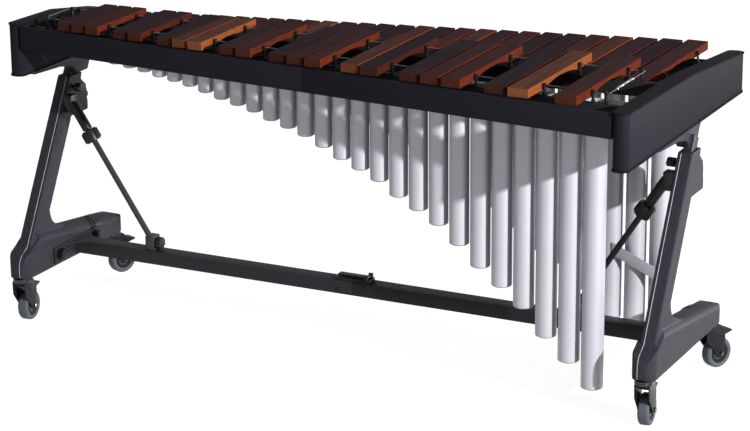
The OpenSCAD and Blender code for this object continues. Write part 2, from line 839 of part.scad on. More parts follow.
module brace_collar(side) {
  color([0.12, 0.12, 0.12])
    on_brace(side)
      translate([0, 0, collar_start])
        difference() {
          union() {
            cylinder(d = collar_d, h = collar_l, $fn = round_fn);
            for (turn = [0, 90])
              translate([0, 0, collar_l / 2])
                rotate([0, 0, turn]) cube([collar_d + 4, 20, collar_l - 6], center = true);
          }
          translate([0, 0, -1])
            cylinder(d = brace_rod_d + 2 * fit, h = collar_l + 2, $fn = round_fn);
        }
}
module low_brace_collar() brace_collar(1);
module high_brace_collar() brace_collar(-1);

module brace_knob(side) {
  color(knob_color)
    mirror([side < 0 ? 1 : 0, 0, 0])
      translate([brace_foot[0] - clamp_w / 2 - knob_gap, brace_foot[1], brace_bolt_z])
        rotate([0, -90, 0]) lobed_knob(big_knob_d, big_knob_h, knob_shaft_d, 10, 8);
}
module low_brace_knob() brace_knob(1);
module high_brace_knob() brace_knob(-1);

// ---- Casters ----
axle_d = 8;
crown_d = 44;
crown_h = 11;
fork_gap = wheel_w + 4;
cheek_t = 3;
brake_y = 30;
brake_z = 92;
brake_pin_d = 5;
brake_pin = [brake_y + 8, brake_z + 2];
tyre_depth = 13;
tyre_edge = 7;
tyre_fn = 96;
// Places children at a caster, z from the floor, with the wheel trailing along +y
function rest_turn(side, row) = row < 0 ? front_turn : side > 0 ? low_rear_turn : high_rear_turn;
module at_caster(side, row) {
  translate([side * mid, foot_y + row * swivel_y, 0])
    rotate([0, 0, -rest_turn(side, row)]) children();
}

module caster_fork(side, row) {
  crown_z = foot_z - 0.5 - crown_h;
  color([0.3, 0.3, 0.32])
    at_caster(side, row)
      difference() {
        union() {
          translate([0, 0, crown_z]) cylinder(d = crown_d, h = crown_h, $fn = round_fn);
          translate([0, 0, crown_z]) cylinder(d = stem_d, h = crown_h + stem_h, $fn = fine_fn);
          translate([-fork_gap / 2 - cheek_t, -18, crown_z - 5]) cube([fork_gap + 2 * cheek_t, 50, 6]);
          for (x = [-fork_gap / 2 - cheek_t, fork_gap / 2])
            translate([x, 0, 0])
              rotate([90, 0, 90])
                linear_extrude(cheek_t)
                  polygon([[-18, crown_z], [-16, 84], [trail - 12, wheel_d / 2 - 6],
                           [trail - 8, wheel_d / 2 - 11], [trail + 8, wheel_d / 2 - 11],
                           [trail + 12, wheel_d / 2 - 6], [46, 84], [44, 100], [32, crown_z]]);
        }
        translate([-50, trail, wheel_d / 2])
          rotate([0, 90, 0]) cylinder(d = axle_d - 0.2, h = 100, $fn = fine_fn);
        translate([-50, brake_pin[0], brake_pin[1]])
          rotate([0, 90, 0]) cylinder(d = brake_pin_d + 2 * fit, h = 100, $fn = fine_fn);
      }
  color([0.6, 0.6, 0.62])
    at_caster(side, row)
      translate([-fork_gap / 2 - cheek_t - 3, trail, wheel_d / 2])
        rotate([0, 90, 0]) cylinder(d = axle_d, h = fork_gap + 2 * cheek_t + 6, $fn = fine_fn);
}

module caster_tyre(side, row) {
  r = wheel_d / 2;
  edge = tyre_edge;
  color([0.45, 0.47, 0.49])
    at_caster(side, row)
      translate([0, trail, r])
        rotate([0, 90, 0])
          rotate_extrude($fn = tyre_fn)
            polygon(concat(
              [[r - tyre_depth, -wheel_w / 2 + 2], [r - edge, -wheel_w / 2]],
              arc_points(r - edge, -wheel_w / 2 + edge, edge, -90, 0, 5),
              arc_points(r - edge, wheel_w / 2 - edge, edge, 0, 90, 5),
              [[r - tyre_depth, wheel_w / 2 - 2]]));
}

module caster_hub(side, row) {
  r = wheel_d / 2;
  color([0.35, 0.36, 0.38])
    at_caster(side, row)
      translate([0, trail, r])
        rotate([0, 90, 0])
          difference() {
            union() {
              cylinder(r = r - tyre_depth, h = wheel_w - 8, center = true, $fn = round_fn);
              cylinder(r = 12, h = wheel_w + 2, center = true, $fn = round_fn);
            }
            cylinder(d = axle_d + 2 * fit, h = wheel_w + 10, center = true, $fn = fine_fn);
          }
}

module caster_brake(side, row) {
  w = fork_gap - 1;
  color([0.04, 0.04, 0.04])
    at_caster(side, row) {
      translate([-w / 2, 0, 0])
        rotate([90, 0, 90])
          linear_extrude(w)
            polygon([[brake_y + 1, brake_z - 1], [brake_y + 14, brake_z - 3],
                     [brake_y + 42, brake_z + 4], [brake_y + 42, brake_z + 8],
                     [brake_y + 20, brake_z + 12], [brake_y + 1, brake_z + 9]]);
      translate([-fork_gap / 2 - cheek_t, brake_pin[0], brake_pin[1]])
        rotate([0, 90, 0])
          cylinder(d = brake_pin_d, h = fork_gap + 2 * cheek_t, $fn = fine_fn);
    }
}
module caster_fork_low_front() caster_fork(1, -1);
module caster_fork_low_rear() caster_fork(1, 1);
module caster_fork_high_front() caster_fork(-1, -1);
module caster_fork_high_rear() caster_fork(-1, 1);
module caster_tyre_low_front() caster_tyre(1, -1);
module caster_tyre_low_rear() caster_tyre(1, 1);
module caster_tyre_high_front() caster_tyre(-1, -1);
module caster_tyre_high_rear() caster_tyre(-1, 1);
module caster_hub_low_front() caster_hub(1, -1);
module caster_hub_low_rear() caster_hub(1, 1);
module caster_hub_high_front() caster_hub(-1, -1);
module caster_hub_high_rear() caster_hub(-1, 1);
module caster_brake_low_front() caster_brake(1, -1);
module caster_brake_low_rear() caster_brake(1, 1);
module caster_brake_high_front() caster_brake(-1, -1);
module caster_brake_high_rear() caster_brake(-1, 1);

low_leg_outer_shell();
low_leg_inner_shell();
high_leg_outer_shell();
high_leg_inner_shell();
beam_low_half();
beam_high_half();
beam_coupling();
beam_latch();
low_brace_tube();
high_brace_tube();
low_brace_rod();
high_brace_rod();
low_brace_collar();
high_brace_collar();
low_brace_knob();
high_brace_knob();
low_beam_knob_front();
low_beam_knob_rear();
high_beam_knob_front();
high_beam_knob_rear();
low_height_knob();
high_height_knob();
low_clamp_knob();
high_clamp_knob();
caster_fork_low_front();
caster_fork_low_rear();
caster_fork_high_front();
caster_fork_high_rear();
caster_tyre_low_front();
caster_tyre_low_rear();
caster_tyre_high_front();
caster_tyre_high_rear();
caster_hub_low_front();
caster_hub_low_rear();
caster_hub_high_front();
caster_hub_high_rear();
caster_brake_low_front();
caster_brake_low_rear();
caster_brake_high_front();
caster_brake_high_rear();
low_post();
high_post();
low_end_shell();
high_end_shell();
low_end_trim();
high_end_trim();
front_board_low();
front_board_high();
rear_board();
bar_rails();
cord_posts();
natural_bars();
accidental_bars();
accidental_cord();
natural_cord();
front_resonators();
rear_resonators();
resonator_caps();
resonator_rails();
resonator_stay();
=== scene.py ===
"""Concert marimba on a folding, height-adjustable frame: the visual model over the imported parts.

Metres throughout, in the parts' own frame: +X is the low end, +Y the player's side, +Z up.
"""
import json
import math

import bmesh
import bpy
from mathutils import Matrix, Vector
from mathutils.bvhtree import BVHTree


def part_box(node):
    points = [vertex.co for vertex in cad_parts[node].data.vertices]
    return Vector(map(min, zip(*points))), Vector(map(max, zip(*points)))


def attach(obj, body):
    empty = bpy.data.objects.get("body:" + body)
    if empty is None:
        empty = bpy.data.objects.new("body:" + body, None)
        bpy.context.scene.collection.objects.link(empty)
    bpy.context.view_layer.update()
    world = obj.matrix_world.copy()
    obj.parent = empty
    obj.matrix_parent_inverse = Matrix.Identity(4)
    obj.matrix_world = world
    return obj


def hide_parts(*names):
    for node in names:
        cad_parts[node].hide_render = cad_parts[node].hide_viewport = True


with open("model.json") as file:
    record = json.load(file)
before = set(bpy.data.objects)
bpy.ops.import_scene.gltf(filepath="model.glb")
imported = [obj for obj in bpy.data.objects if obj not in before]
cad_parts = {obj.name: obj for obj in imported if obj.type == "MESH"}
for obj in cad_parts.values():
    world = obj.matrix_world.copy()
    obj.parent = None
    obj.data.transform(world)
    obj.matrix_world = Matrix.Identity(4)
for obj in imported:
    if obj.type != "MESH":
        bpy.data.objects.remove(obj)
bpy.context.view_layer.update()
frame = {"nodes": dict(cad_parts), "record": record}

MM = 0.001
SIDES = (("low", 1), ("high", -1))
ENDS = ("front", "rear")
WHEELS = [f"{side}_{end}" for side, _ in SIDES for end in ENDS]
BODY_OF = {n: b for b, members in frame["record"]["behaviour"]["bodies"].items() for n in members}
JOINTS = {j["name"]: j for j in frame["record"]["behaviour"]["joints"]}
FOOT_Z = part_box("low_leg_outer_shell")[0][2]  # height of the underside of the feet


# ---------------------------------------------------------------- materials
WOOD_GLOSS = 0.004


def start_material(name):
    """A new material with its tree, its shader and object coordinates."""
    made = bpy.data.materials.new(name)
    made.use_nodes = True
    tree = made.node_tree
    coords = tree.nodes.new("ShaderNodeTexCoord").outputs["Object"]
    return made, tree, tree.nodes["Principled BSDF"], coords


def stretch(tree, coords, scale):
    """Scaled coordinates: a small scale along an axis draws a pattern out along it."""
    node = tree.nodes.new("ShaderNodeMapping")
    node.inputs["Scale"].default_value = scale
    tree.links.new(coords, node.inputs["Vector"])
    return node.outputs["Vector"]


def noise(tree, coords, scale, detail=4.0, roughness=0.55, distortion=0.0):
    """A noise value from 0 to 1."""
    node = tree.nodes.new("ShaderNodeTexNoise")
    node.inputs["Scale"].default_value = scale
    node.inputs["Detail"].default_value = detail
    node.inputs["Roughness"].default_value = roughness
    node.inputs["Distortion"].default_value = distortion
    tree.links.new(coords, node.inputs["Vector"])
    return node.outputs["Fac"]


def ramp(tree, value, stops):
    """Colours along a value, from stops of (place, colour)."""
    node = tree.nodes.new("ShaderNodeValToRGB")
    ends = node.color_ramp.elements
    while len(ends) < len(stops):
        ends.new(0.5)
    for end, (place, colour) in zip(ends, stops):
        end.position = place
        end.color = (*colour, 1)
    tree.links.new(value, node.inputs["Fac"])
    return node.outputs["Color"]


def mix(tree, factor, one, two, blend="MIX"):
    """Two colours blended by a factor; each of the three is a plain value or a socket."""
    node = tree.nodes.new("ShaderNodeMix")
    node.data_type = "RGBA"
    node.blend_type = blend
    for socket, given in (("Factor", factor), ("A", one), ("B", two)):
        inputs = [i for i in node.inputs if i.name == socket and i.enabled]
        if isinstance(given, bpy.types.NodeSocket):
            tree.links.new(given, inputs[0])
        else:
            inputs[0].default_value = given if isinstance(given, float) else (*given, 1)
    return [o for o in node.outputs if o.enabled][0]


def spread(tree, value, low, high):
    """A value from 0 to 1 moved to the range from low to high."""
    node = tree.nodes.new("ShaderNodeMapRange")
    node.inputs["To Min"].default_value = low
    node.inputs["To Max"].default_value = high
    tree.links.new(value, node.inputs["Value"])
    return node.outputs["Result"]


def bump(tree, height, shader, strength, distance):
    """A fine relief in the shading only."""
    node = tree.nodes.new("ShaderNodeBump")
    node.inputs["Strength"].default_value = strength
    node.inputs["Distance"].default_value = distance
    tree.links.new(height, node.inputs["Height"])
    tree.links.new(node.outputs["Normal"], shader.inputs["Normal"])


def grey(v, blue=0.0):
    """A neutral colour, with a share of extra blue if asked."""
    return (v, v, v * (1 + blue))


def rosewood(name, dark, body, light, shine):
    """Oiled rosewood with its grain along Y, pores, and a slow change of tone from bar to bar."""
    made, tree, shader, coords = start_material(name)
    along = stretch(tree, coords, (1, 0.045, 1))
    streaks = noise(tree, along, 210, 7, 0.62, 0.7)
    tones = ramp(tree, streaks, [(0.28, dark), (0.47, body), (0.60, body), (0.78, light)])
    broad = noise(tree, stretch(tree, coords, (1, 0.10, 0.6)), 23, 3, 0.5, 0.4)
    shaded = mix(tree, spread(tree, broad, 0.0, 0.55), tones, dark)
    pores = noise(tree, stretch(tree, coords, (1, 0.03, 1)), 1300, 2, 0.4)
    flecks = ramp(tree, pores, [(0.30, grey(0.45)), (0.44, grey(1.0))])
    tree.links.new(mix(tree, 0.75, shaded, flecks, "MULTIPLY"), shader.inputs["Base Color"])
    tree.links.new(spread(tree, streaks, shine - 0.05, shine + 0.13), shader.inputs["Roughness"])
    shader.inputs["Specular IOR Level"].default_value = WOOD_GLOSS
    bump(tree, pores, shader, 0.22, 0.3 * MM)
    return made


def painted(name, base, rough, grain_scale, depth, fleck=None, drift=0.25, gloss=0.08):
    """Paint, powder coat or moulded plastic with a fine surface grain and a slight drift of tone."""
    made, tree, shader, coords = start_material(name)
    grain = noise(tree, coords, grain_scale, 3, 0.6)
    slow = noise(tree, coords, 9, 3, 0.5)
    dull = tuple(c * (1 - drift) for c in base)
    colour = mix(tree, spread(tree, slow, 0.1, 0.9), dull, base)
    if fleck:
        dots = noise(tree, coords, fleck["scale"], 2, 0.5)
        mask = ramp(tree, dots, [(fleck["cut"], grey(0.0)), (fleck["cut"] + 0.07, grey(1.0))])
        colour = mix(tree, mask, colour, fleck["colour"])
    tree.links.new(colour, shader.inputs["Base Color"])
    tree.links.new(spread(tree, grain, rough - 0.07, rough + 0.07), shader.inputs["Roughness"])
    shader.inputs["Specular IOR Level"].default_value = gloss
    bump(tree, grain, shader, 0.5, depth)
    return made


def brushed(name, base, rough, direction, scale=900, metallic=1.0):
    """Anodised or plain metal with hair lines; direction is the stretch that makes the lines."""
    made, tree, shader, coords = start_material(name)
    lines = noise(tree, stretch(tree, coords, direction), scale, 3, 0.6)
    cloud = noise(tree, coords, 14, 3, 0.5)
    pale = tuple(min(1.0, c * 1.04) for c in base)
    tree.links.new(mix(tree, cloud, tuple(c * 0.94 for c in base), pale), shader.inputs["Base Color"])
    tree.links.new(spread(tree, lines, rough - 0.06, rough + 0.08), shader.inputs["Roughness"])
    shader.inputs["Metallic"].default_value = metallic
    bump(tree, lines, shader, 0.12, 0.05 * MM)
    return made


def braided(name):
    """Black cord with the small checks of its braid."""
    made, tree, shader, coords = start_material(name)
    wave = tree.nodes.new("ShaderNodeTexWave")
    wave.inputs["Scale"].default_value = 260
    wave.inputs["Distortion"].default_value = 1.5
    tree.links.new(coords, wave.inputs["Vector"])
    tree.links.new(mix(tree, wave.outputs["Fac"], grey(0.012), grey(0.06)), shader.inputs["Base Color"])
    shader.inputs["Roughness"].default_value = 0.75
    bump(tree, wave.outputs["Fac"], shader, 0.6, 0.3 * MM)
    return made


def woods(kind, shine, shades):
    """One rosewood for each tone, from its dark, body and light shades."""
    return {tone: rosewood(f"rosewood{kind}_{tone}", *three, shine) for tone, three in shades.items()}


# Three copies of one wood for each tone, which differ only in painted light and shade: the tops painted
# darkest, the sides painted brightest as if lit from the side, and the ends painted in between.
SHADED_TOP_WOOD = woods("", 0.38, {
    "dark": ((0.006, 0.004, 0.006), (0.015, 0.010, 0.014), (0.032, 0.018, 0.022)),
    "plum": ((0.007, 0.004, 0.006), (0.021, 0.011, 0.014), (0.044, 0.021, 0.022)),
    "red": ((0.009, 0.004, 0.006), (0.031, 0.013, 0.013), (0.064, 0.025, 0.022)),
    "warm": ((0.013, 0.006, 0.007), (0.046, 0.019, 0.016), (0.092, 0.038, 0.026)),
    "orange": ((0.018, 0.008, 0.008), (0.064, 0.027, 0.018), (0.13, 0.055, 0.030)),
})
LIT_SIDE_WOOD = woods("_lit_side", 0.42, {
    "dark": ((0.014, 0.004, 0.003), (0.040, 0.008, 0.005), (0.080, 0.015, 0.007)),
    "plum": ((0.018, 0.004, 0.003), (0.053, 0.010, 0.005), (0.105, 0.019, 0.007)),
    "red": ((0.024, 0.006, 0.004), (0.080, 0.013, 0.005), (0.15, 0.028, 0.009)),
    "warm": ((0.044, 0.010, 0.005), (0.14, 0.030, 0.009), (0.23, 0.058, 0.015)),
    "orange": ((0.070, 0.017, 0.006), (0.17, 0.046, 0.013), (0.26, 0.086, 0.028)),
})
SHADED_END_WOOD = woods("_end", 0.45, {
    "dark": ((0.010, 0.005, 0.004), (0.026, 0.010, 0.007), (0.048, 0.016, 0.010)),
    "plum": ((0.012, 0.005, 0.004), (0.034, 0.011, 0.007), (0.062, 0.019, 0.010)),
    "red": ((0.013, 0.005, 0.004), (0.040, 0.012, 0.007), (0.075, 0.022, 0.011)),
    "warm": ((0.028, 0.009, 0.005), (0.080, 0.026, 0.012), (0.14, 0.047, 0.018)),
    "orange": ((0.044, 0.015, 0.007), (0.125, 0.043, 0.018), (0.20, 0.078, 0.032)),
})
SHELL = painted("charcoal_texture", (0.0080, 0.0082, 0.0116), 0.55, 900, 0.35 * MM, gloss=0.02)
TRIM = painted("black_edge", (0.0065, 0.0065, 0.0085), 0.45, 700, 0.15 * MM, gloss=0.01)
BOARD = painted("matt_black_laminate", (0.0085, 0.0085, 0.0120), 0.55, 1500, 0.10 * MM, drift=0.35,
                gloss=0.02)
RAIL = painted("matt_black_paint", grey(0.008), 0.6, 600, 0.2 * MM)
POST = painted("post_paint", (0.013, 0.0135, 0.018), 0.42, 800, 0.12 * MM)
POWDER = painted("speckled_powder", (0.0125, 0.0127, 0.0178), 0.50, 620, 0.55 * MM,
                 {"scale": 1100, "cut": 0.60, "colour": grey(0.075, 0.12)})
BEAM = painted("beam_paint", (0.0125, 0.0125, 0.0150), 0.40, 900, 0.10 * MM)
BRACE = painted("brace_black", grey(0.006), 0.35, 900, 0.08 * MM, gloss=0.2)
ROD = painted("rod_grey", (0.020, 0.020, 0.025), 0.34, 900, 0.06 * MM, gloss=0.2)
PLASTIC = painted("moulded_black", grey(0.005), 0.38, 500, 0.2 * MM, gloss=0.2)
TYRE = painted("tyre_grey", (0.050, 0.055, 0.067), 0.55, 380, 0.25 * MM)
HUB = painted("hub_grey", (0.022, 0.026, 0.034), 0.36, 500, 0.15 * MM, gloss=0.3)
GUARD = painted("guard_black", grey(0.006), 0.5, 500, 0.2 * MM)
FORK = painted("fork_black", (0.006, 0.006, 0.008), 0.30, 500, 0.1 * MM, gloss=0.14)
SEAM = painted("seam_light", grey(0.26, 0.08), 0.45, 500, 0.1 * MM)
CORD = braided("braided_cord")
TUBE = brushed("satin_aluminium", (0.28, 0.28, 0.312), 0.46, (1, 1, 0.02), metallic=0.3)
CAP = brushed("cap_aluminium", (0.25, 0.25, 0.28), 0.46, (1, 1, 1), 300, 0.3)
STRIP = brushed("strip_aluminium", (0.22, 0.225, 0.25), 0.45, (0.02, 1, 1), 900, 0.3)
CHROME = brushed("bright_metal", (0.82, 0.82, 0.84), 0.18, (1, 1, 1), 200)
RING = brushed("dark_plated_metal", (0.10, 0.10, 0.11), 0.22, (1, 1, 1), 200)


# ---------------------------------------------------------------- meshes
def finish_piece(name, shape, body, materials, sharp=35, replaces=()):
    """Turns a bmesh into a named piece that rides on its body."""
    mesh = bpy.data.meshes.new(name)
    bmesh.ops.recalc_face_normals(shape, faces=shape.faces)
    shape.to_mesh(mesh)
    shape.free()
    for m in materials:
        mesh.materials.append(m)
    mesh.shade_smooth()
    mesh.set_sharp_from_angle(angle=math.radians(sharp))
    piece = bpy.data.objects.new(name, mesh)
    bpy.context.scene.collection.objects.link(piece)
    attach(piece, body)
    if replaces:
        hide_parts(*replaces)


def soften(shape, width, segments=2, angle=30):
    """Rounds every edge that turns by more than the angle."""
    limit = math.radians(angle)
    edges = [e for e in shape.edges if len(e.link_faces) == 2 and e.calc_face_angle(0) > limit]
    if edges and width > 0:
        bmesh.ops.bevel(shape, geom=edges, offset=width, segments=segments, profile=0.5,
                        affect="EDGES", clamp_overlap=True)


def cad_shape(node):
    """The node's solid as a clean bmesh: one vertex at each corner and whole flat faces."""
    shape = bmesh.new()
    shape.from_mesh(frame["nodes"][node].data)
    bmesh.ops.remove_doubles(shape, verts=shape.verts, dist=0.02 * MM)
    bmesh.ops.dissolve_limit(shape, angle_limit=math.radians(0.6), verts=shape.verts, edges=shape.edges)
    return shape


def refine(node, material, width=1.2 * MM, segments=2):
    """The node's own solid with its edges rounded, standing for the plain one."""
    shape = cad_shape(node)
    soften(shape, width, segments)
    finish_piece(node + "_body", shape, BODY_OF[node], [material], replaces=[node])


def islands(node):
    """The boxes (low, high) of a node's separate solids, from the low notes to the high."""
    shape = bmesh.new()
    shape.from_mesh(frame["nodes"][node].data)
    bmesh.ops.remove_doubles(shape, verts=shape.verts, dist=0.02 * MM)
    seen, boxes = set(), []
    for start in shape.verts:
        if start in seen:
            continue
        seen.add(start)
        group, edge = [start], [start]
        while edge:
            for link in edge.pop().link_edges:
                for v in link.verts:
                    if v not in seen:
                        seen.add(v)
                        edge.append(v)
                        group.append(v)
        low = Vector([min(v.co[i] for v in group) for i in range(3)])
        high = Vector([max(v.co[i] for v in group) for i in range(3)])
        boxes.append((low, high))
    shape.free()
    return sorted(boxes, key=lambda b: -b[0].x)


def lathe(shape, profile, place, segments=48, closed=False):
    """Turns a profile of (radius, height) about the local Z axis of a placing matrix."""
    rings = []
    for radius, height in profile:
        if radius < 1e-7:
            rings.append([shape.verts.new(place @ Vector((0, 0, height)))])
            continue
        ring = []
        for i in range(segments):
            a = 2 * math.pi * i / segments
            ring.append(shape.verts.new(place @ Vector((radius * math.cos(a), radius * math.sin(a), height))))
        rings.append(ring)
    pairs = list(zip(rings, rings[1:]))
    if closed:
        pairs.append((rings[-1], rings[0]))
    for one, two in pairs:
        for i in range(segments):
            j = (i + 1) % segments
            corners = [one[i % len(one)], one[j % len(one)], two[j % len(two)], two[i % len(two)]]
            corners = list(dict.fromkeys(corners))
            if len(corners) > 2:
                shape.faces.new(corners)


def extrude(shape, outline, place, depth):
    """A flat outline of (x, y) in a placing matrix, pushed depth along its local Z."""
    low = [shape.verts.new(place @ Vector((x, y, 0))) for x, y in outline]
    high = [shape.verts.new(place @ Vector((x, y, depth))) for x, y in outline]
    shape.faces.new(low[::-1])
    shape.faces.new(high)
    for i in range(len(outline)):
        j = (i + 1) % len(outline)
        shape.faces.new([low[i], low[j], high[j], high[i]])


def block(shape, low, high):
    """A plain block between two corners, for softening afterwards."""
    place = Matrix.Translation(low)
    size = Vector(high) - Vector(low)
    extrude(shape, [(0, 0), (size.x, 0), (size.x, size.y), (0, size.y)], place, size.z)


def sweep(shape, route, radius, sides=10):
    """A round rod along the points of a route."""
    rings, before = [], None
    for i, point in enumerate(route):
        ahead = (route[min(i + 1, len(route) - 1)] - route[max(i - 1, 0)]).normalized()
        if before is None:
            across = ahead.orthogonal().normalized()
        else:
            across = (before - ahead * before.dot(ahead)).normalized()
        before = across
        up = ahead.cross(across)
        rings.append([shape.verts.new(point + (across * math.cos(t) + up * math.sin(t)) * radius)
                      for t in (2 * math.pi * k / sides for k in range(sides))])
    for one, two in zip(rings, rings[1:]):
        for k in range(sides):
            shape.faces.new([one[k], one[(k + 1) % sides], two[(k + 1) % sides], two[k]])
    shape.faces.new(rings[0][::-1])
    shape.faces.new(rings[-1])


def arc(cx, cy, radius, start, stop, steps):
    return [(cx + radius * math.cos(math.radians(start + (stop - start) * i / steps)),
             cy + radius * math.sin(math.radians(start + (stop - start) * i / steps)))
            for i in range(steps + 1)]


def axis_place(point, axis):
    """A placing matrix whose local Z runs along the axis."""
    return Matrix.Translation(point) @ Vector(axis).to_track_quat("Z", "Y").to_matrix().to_4x4()


SIDE_ON = Matrix(((0, 0, 1, 0), (1, 0, 0, 0), (0, 1, 0, 0), (0, 0, 0, 1)))  # outline (y, z), depth +X


# ---------------------------------------------------------------- bars
NODE_SHARE = 0.224
BAR_EDGE = 1.4 * MM
ARCH_DEPTH_LOW = 12.5 * MM
ARCH_DEPTH_HIGH = 6.5 * MM
ARCH_INSET = 6 * MM
ARCH_STEPS = 28
TOP_FACING = 0.35  # a face is a bar's top if its normal's z is above this
END_FACING = 0.6  # and takes the ends' copy, with painted shade, if its normal's y is
ACCIDENTAL_TONES = ["red", "orange", "dark", "red", "red", "dark", "dark", "warm", "red", "plum", "dark",
                    "red", "plum", "orange", "warm", "dark", "plum", "dark", "red", "plum", "plum"]
NATURAL_TONES = ["red", "dark", "plum", "warm", "red", "dark", "dark", "red", "plum", "warm", "red",
                 "dark", "warm", "dark", "dark", "plum", "plum", "orange", "red", "dark", "red",
                 "plum", "dark", "red", "dark", "plum", "red", "dark", "plum", "dark", "red"]


def bar(name, low, high, tone, depth, row):
    """One tuned bar: rounded long edges and an arch cut from below."""
    y0, y1 = low.y, high.y
    reach = (y1 - y0) * (0.5 - NODE_SHARE) - ARCH_INSET
    radius = (reach * reach + depth * depth) / (2 * depth)
    sweep_angle = math.degrees(math.asin(reach / radius))
    middle = (y0 + y1) / 2
    arch = arc(middle, low.z + depth - radius, radius, 90 + sweep_angle, 90 - sweep_angle, ARCH_STEPS)
    outline = [(y0, low.z), *arch, (y1, low.z), (y1, high.z), (y0, high.z)]
    shape = bmesh.new()
    extrude(shape, outline, Matrix.Translation((low.x, 0, 0)) @ SIDE_ON, high.x - low.x)
    soften(shape, BAR_EDGE, 3)
    bmesh.ops.recalc_face_normals(shape, faces=shape.faces)
    # Each face takes its copy of the wood by the way it faces: painted shade on the tops and ends, painted
    # light on the sides.
    for face in shape.faces:
        across = abs(face.normal.y) > END_FACING
        face.material_index = 0 if face.normal.z > TOP_FACING else 2 if across else 1
    finish_piece(name, shape, "desk", [SHADED_TOP_WOOD[tone], LIT_SIDE_WOOD[tone], SHADED_END_WOOD[tone]],
                 replaces=[row])


def bars():
    for row, tones in (("natural_bars", NATURAL_TONES), ("accidental_bars", ACCIDENTAL_TONES)):
        boxes = islands(row)
        for i, (low, high) in enumerate(boxes):
            depth = ARCH_DEPTH_LOW - (ARCH_DEPTH_LOW - ARCH_DEPTH_HIGH) * i / len(boxes)
            bar(f"{row[:-5]}_bar_{i + 1:02d}", low, high, tones[i], depth, row)


# ---------------------------------------------------------------- cords and their posts
def cords():
    for node in ("accidental_cord", "natural_cord"):
        refine(node, CORD, 0)


EYE_DROP = 5 * MM
POST_EASE = 0.8 * MM
SLEEVE_HALF = 4.2 * MM
SLEEVE_RADIUS = 5.4 * MM
SLEEVE_BORE = 2.2 * MM
POST_BASE = 7 * MM
POST_BASE_OVER = 1.6 * MM


def cord_posts():
    """Flat black posts, each with a rubber sleeve that the cord passes through."""
    posts, sleeves = bmesh.new(), bmesh.new()
    for low, high in islands("cord_posts"):
        x, y = (low.x + high.x) / 2, (low.y + high.y) / 2
        eye = high.z - EYE_DROP
        block(posts, (low.x, low.y + POST_EASE, low.z),
              (high.x, high.y - POST_EASE, high.z - 1.5 * POST_EASE))
        block(posts, (low.x - POST_BASE_OVER, low.y, low.z),
              (high.x + POST_BASE_OVER, high.y, low.z + POST_BASE))
        half = [(SLEEVE_BORE, SLEEVE_HALF), (SLEEVE_RADIUS - 0.8 * MM, SLEEVE_HALF),
                (SLEEVE_RADIUS, SLEEVE_HALF - 1 * MM)]
        profile = [(r, -h) for r, h in half] + half[::-1]
        lathe(sleeves, profile, axis_place(Vector((x, y, eye)), (1, 0, 0)), 18, closed=True)
    soften(posts, 0.7 * MM, 2)
    finish_piece("cord_post_plates", posts, "desk", [PLASTIC], replaces=["cord_posts"])
    finish_piece("cord_post_sleeves", sleeves, "desk", [GUARD])


CORD_RADIUS = 1.5 * MM
COIL_START = 0.22  # share of the cord's depth at which the coil begins
COIL_TURNS = 44
COIL_STEPS = 10
COIL_PITCH = 2.4 * MM
COIL_RADIUS = 2.5 * MM
COIL_WIRE = 0.55 * MM


def cord_spring():
    """The steel coil that keeps the front row's cord tight, on its run beside the low end piece."""
    low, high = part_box("accidental_cord")
    x, z = high[0] - CORD_RADIUS, high[2] - CORD_RADIUS
    start = low[1] + (high[1] - low[1]) * COIL_START
    route = []
    for i in range(COIL_TURNS * COIL_STEPS + 1):
        a = 2 * math.pi * i / COIL_STEPS
        route.append(Vector((x + COIL_RADIUS * math.cos(a), start + COIL_PITCH * i / COIL_STEPS,
                             z + COIL_RADIUS * math.sin(a))))
    shape = bmesh.new()
    sweep(shape, route, COIL_WIRE, 6)
    finish_piece("cord_spring", shape, "desk", [CHROME])


# ---------------------------------------------------------------- resonators
TUBE_WALL = 1.5 * MM
TUBE_EDGE = 0.4 * MM
CAP_OVERLAP = 4 * MM
CAP_LIP = 6 * MM


def tubes():
    """Both banks of open tubes."""
    for node, label in (("front_resonators", "front_tubes"), ("rear_resonators", "rear_tubes")):
        shape = bmesh.new()
        for low, high in islands(node):
            radius = (high.x - low.x) / 2
            place = Matrix.Translation(((low.x + high.x) / 2, (low.y + high.y) / 2, 0))
            inside = radius - TUBE_WALL
            profile = [(inside, low.z + CAP_OVERLAP), (inside, high.z - TUBE_EDGE),
                       (inside + TUBE_EDGE, high.z), (radius - TUBE_EDGE, high.z),
                       (radius, high.z - TUBE_EDGE), (radius, low.z + TUBE_EDGE),
                       (radius - TUBE_EDGE, low.z)]
            lathe(shape, profile, place, 64)
        finish_piece(label, shape, "desk", [TUBE], replaces=[node])


def tube_caps():
    """A shallow dome under each tube."""
    caps = bmesh.new()
    for low, high in islands("resonator_caps"):
        radius = (high.x - low.x) / 2
        place = Matrix.Translation(((low.x + high.x) / 2, (low.y + high.y) / 2, low.z))
        profile = [(0, 0), (radius * 0.5, 0.4 * MM), (radius * 0.8, 1.6 * MM), (radius - 2 * MM, 3.4 * MM),
                   (radius - 0.5 * MM, 4.9 * MM), (radius, CAP_LIP), (radius - 2 * MM, CAP_LIP), (0, CAP_LIP)]
        lathe(caps, profile, place, 64)
    finish_piece("tube_caps", caps, "desk", [CAP], replaces=["resonator_caps"])


def tube_strips():
    refine("resonator_rails", STRIP, 0.5 * MM)
    refine("resonator_stay", STRIP, 0.5 * MM)


# ---------------------------------------------------------------- desk
def desk():
    for node in ("front_board_low", "front_board_high", "rear_board"):
        refine(node, BOARD, 1.5 * MM, 3)
    refine("bar_rails", RAIL, 1.5 * MM, 2)
    for side, _ in SIDES:
        refine(f"{side}_end_shell", SHELL, 0.4 * MM)
        refine(f"{side}_end_trim", TRIM, 1.4 * MM, 3)
        refine(f"{side}_post", POST, 1.5 * MM)


